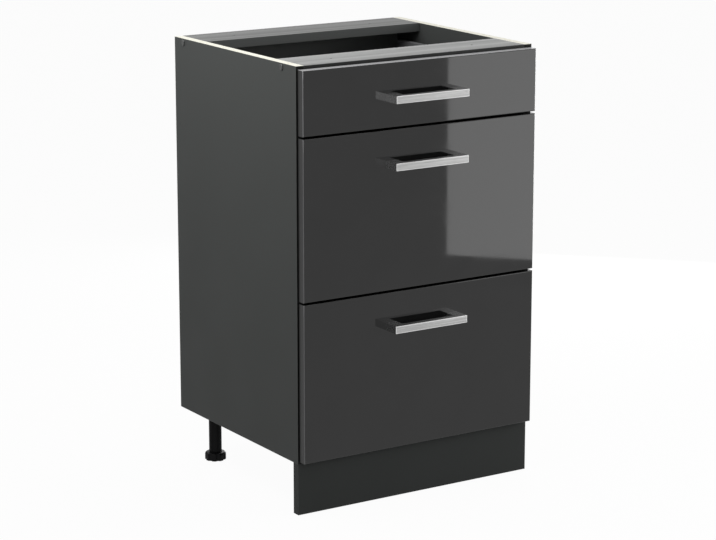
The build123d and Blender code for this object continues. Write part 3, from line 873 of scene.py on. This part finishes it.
def foot_stem(x, y):
    """The threaded stem, which starts a little inside the pad."""
    length = stem_length + stem_sunk
    stem = start(bpy.ops.mesh.primitive_cylinder_add, vertices=48, radius=stem_radius, depth=length,
                 location=(x, y, pad_height - stem_sunk + length / 2))
    for cuts in ring_cuts:
        pick(stem, "EDGE", lambda middle, run: abs(run.z) > nearly_one)
        bpy.ops.mesh.subdivide(number_cuts=cuts)
    leave(stem)
    for vert in stem.data.vertices:
        around = math.atan2(vert.co.y - y, vert.co.x - x)
        wave = (1.0 - math.cos(2 * math.pi * vert.co.z / thread_pitch - around)) / 2
        inward = thread_depth * wave
        vert.co.x -= inward * math.cos(around)
        vert.co.y -= inward * math.sin(around)
    return stem


foot = joined([foot_pad(leg_x, leg_y), foot_stem(leg_x, leg_y)])
for name, shift in leg_shifts.items():
    foot_name = name.replace("leg", "foot")
    other = copy_of(foot, shift)
    hand_over(other, f"{foot_name}_threaded", foot_name, foot_name, black_plastic)
bpy.data.objects.remove(foot)

# %% [markdown]
# Small fixings sit in groups: one node of the model holds many of them. A helper finds the separate solids of
# such a node, so that each fixing can be set exactly where its solid is.

# %% Solids of a group
merge_distance = 0.000001


def solids_of(node):
    """The points of each separate solid in a node, in the order of the mesh."""
    shape = bmesh.new()
    shape.from_mesh(nodes[node].data)
    bmesh.ops.remove_doubles(shape, verts=shape.verts, dist=merge_distance)
    seen = set()
    found = []
    for first in shape.verts:
        if first in seen:
            continue
        seen.add(first)
        group = [first]
        for vert in group:
            for edge in vert.link_edges:
                other = edge.other_vert(vert)
                if other not in seen:
                    seen.add(other)
                    group.append(other)
        found.append([vert.co.copy() for vert in group])
    shape.free()
    return found


def corners(points):
    """Lowest and highest corner of a set of points."""
    low = Vector([min(point[axis] for point in points) for axis in range(3)])
    high = Vector([max(point[axis] for point in points) for axis in range(3)])
    return low, high


print("caps", len(solids_of("cover_caps")), "screws", len(solids_of("board_screws")))

# %% [markdown]
# Two caps on each side hide the heads of the screws that hold the rails, and soft bumpers on the front
# edges catch the closing drawers. Both are discs with a slightly dished middle, so one function makes them:
# the rim on the outer side is bevelled, in one step for the caps, whose crisp rims catch the light, and in
# several for the soft bumpers, and the flat that is left is inset twice.

# %% Caps and bumpers
flat_on = 0.99


def domed_disc(points, outward, rounding, steps, border, dish):
    """A disc over a solid of the model, with its outer rim bevelled in steps and its middle sunk a little."""
    low, high = corners(points)
    middle = (low + high) / 2
    span = high - low
    thickness = abs(span.dot(outward))
    outer = middle.dot(outward) + thickness / 2
    disc = start(bpy.ops.mesh.primitive_cylinder_add, vertices=48, radius=max(span) / 2, depth=thickness,
                 location=middle, rotation=outward.to_track_quat("Z", "Y").to_euler())
    pick(disc, "EDGE", lambda place, run: place.dot(outward) > outer - sliver)
    bpy.ops.mesh.bevel(offset=rounding, segments=steps)
    pick(disc, "FACE", lambda place, normal: normal.dot(outward) > flat_on)
    bpy.ops.mesh.inset(thickness=border)
    bpy.ops.mesh.inset(thickness=border, depth=-dish)
    return leave(disc)


caps = []
for points in solids_of("cover_caps"):
    outward = Vector((math.copysign(1.0, points[0].x), 0.0, 0.0))
    caps.append(domed_disc(points, outward, rounding=0.0012, steps=1, border=0.0012, dish=0.00015))
hand_over(joined(caps), "domed_caps", "carcass", "cover_caps", cap_plastic)

bumpers = []
forward = Vector((0.0, -1.0, 0.0))
for points in solids_of("bumpers"):
    bumpers.append(domed_disc(points, forward, rounding=0.0012, steps=5, border=0.0007, dish=0.0001))
hand_over(joined(bumpers), "domed_bumpers", "carcass", "bumpers", rubber)

# %% [markdown]
# Board screws have a domed pan head with a cross recess, handle screws are the same but larger. The head is
# a short cylinder with a bevelled rim, the shank is extruded from its underside, and the recess is cut with
# two crossed blocks through Boolean modifiers. One screw of each size is modelled, and copies are set on
# the seats.

# %% Screws
board_head_height = 0.002
handle_head_height = 0.0024
rim_share = 0.5
recess_width = 0.3
recess_length = 1.25
recess_depth = 0.6


def recess_block(head_radius, head_height, turn):
    """One of the two blocks that cut the cross, in proportion to the head."""
    size = (recess_length * head_radius, recess_width * head_radius, 2 * recess_depth * head_height)
    return start(bpy.ops.mesh.primitive_cube_add, size=1.0, scale=size, location=(0.0, 0.0, head_height),
                 rotation=(0.0, 0.0, turn))


def cross_screw(head_radius, head_height, shank_radius, shank_length):
    """A pan-head screw that stands on the origin, head up."""
    screw = start(bpy.ops.mesh.primitive_cylinder_add, vertices=32, radius=head_radius,
                  depth=head_height, location=(0.0, 0.0, head_height / 2))
    pick(screw, "EDGE", lambda middle, run: middle.z > head_height - sliver)
    bpy.ops.mesh.bevel(offset=rim_share * head_height, segments=4)
    pick(screw, "FACE", lambda middle, normal: normal.z < -nearly_one)
    bpy.ops.mesh.inset(thickness=head_radius - shank_radius)
    bpy.ops.mesh.extrude_region_move(TRANSFORM_OT_translate={"value": (0.0, 0.0, -shank_length)})
    leave(screw)
    for turn in (0.0, math.pi / 2):
        cut_out(screw, recess_block(head_radius, head_height, turn))
    return screw


def screw_place(points, head_height):
    """The matrix that sets a screw on its seat: the head is at the wider end of its longest side."""
    low, high = corners(points)
    middle = (low + high) / 2
    span = high - low
    axis = max(range(3), key=lambda index: span[index])

    def width_at(level):
        near = [point for point in points if abs(point[axis] - level) < sliver]
        return max((point - middle).length for point in near)

    way = 1.0 if width_at(high[axis]) > width_at(low[axis]) else -1.0
    facing = Vector([way if index == axis else 0.0 for index in range(3)])
    tip = middle + facing * span[axis] / 2
    turn = facing.to_track_quat("Z", "Y").to_matrix().to_4x4()
    return Matrix.Translation(tip - facing * head_height) @ turn


def set_screws(screw, head_height, node, body):
    """Copies of a screw on all the seats of one node."""
    copies = [copy_of(screw, screw_place(points, head_height)) for points in solids_of(node)]
    hand_over(joined(copies), f"{node}_crossed", body, node, zinc)


board_screw = cross_screw(head_radius=0.0035, head_height=board_head_height,
                          shank_radius=0.00175, shank_length=0.015)
handle_screw = cross_screw(head_radius=0.004, head_height=handle_head_height,
                           shank_radius=0.002, shank_length=0.025)
set_screws(board_screw, board_head_height, "board_screws", "carcass")
for drawer in drawers:
    set_screws(board_screw, board_head_height, f"{drawer}_drawer_screws", f"{drawer}_drawer")
    set_screws(handle_screw, handle_head_height, f"{drawer}_handle_screws", f"{drawer}_drawer")
bpy.data.objects.remove(board_screw)
bpy.data.objects.remove(handle_screw)
